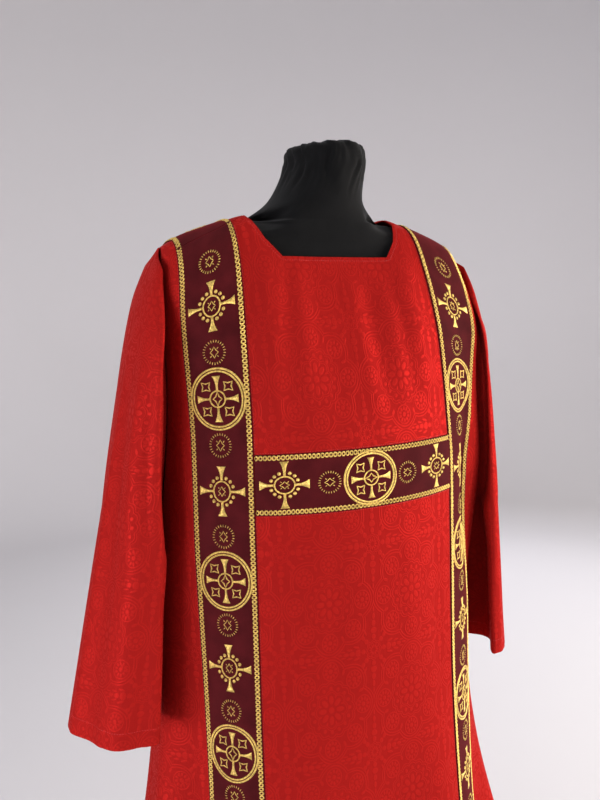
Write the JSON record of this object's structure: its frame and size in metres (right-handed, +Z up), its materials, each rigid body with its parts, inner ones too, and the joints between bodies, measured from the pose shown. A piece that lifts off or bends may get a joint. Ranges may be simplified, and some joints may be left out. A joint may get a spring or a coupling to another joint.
{
  "type": "dalmatic on a limbless dress form",
  "caption": "Long wide-sleeved liturgical tunic with two vertical bands and a band across the chest, worn by a limbless dress form on a round-footed stand.",
  "frame": {"origin": "on the floor under the middle of the stand's round foot, which is the centre of the bounding box's underside", "axes": "+Z up along the stand's pole, +X towards the wearer's left, -Y towards the garment's front"},
  "size_m": [0.744, 0.4418, 1.561],
  "materials": {
    "red_damask": "self-coloured damask with a low sheen",
    "burgundy_velvet": "short velvet pile with gold thread embroidery",
    "black_jersey": "matt stretch jersey over the form",
    "black_steel": "satin black paint"
  },
  "bodies": {
    "root": {"front_panel": "red_damask", "back_panel": "red_damask", "sleeve_left": "red_damask", "sleeve_right": "red_damask", "clavus_front_left": "burgundy_velvet", "clavus_front_right": "burgundy_velvet", "clavus_back_left": "burgundy_velvet", "clavus_back_right": "burgundy_velvet", "chest_band": "burgundy_velvet", "dress_form": "black_jersey", "stand_pole": "black_steel", "stand_base": "black_steel"}
  },
  "joints": []
}
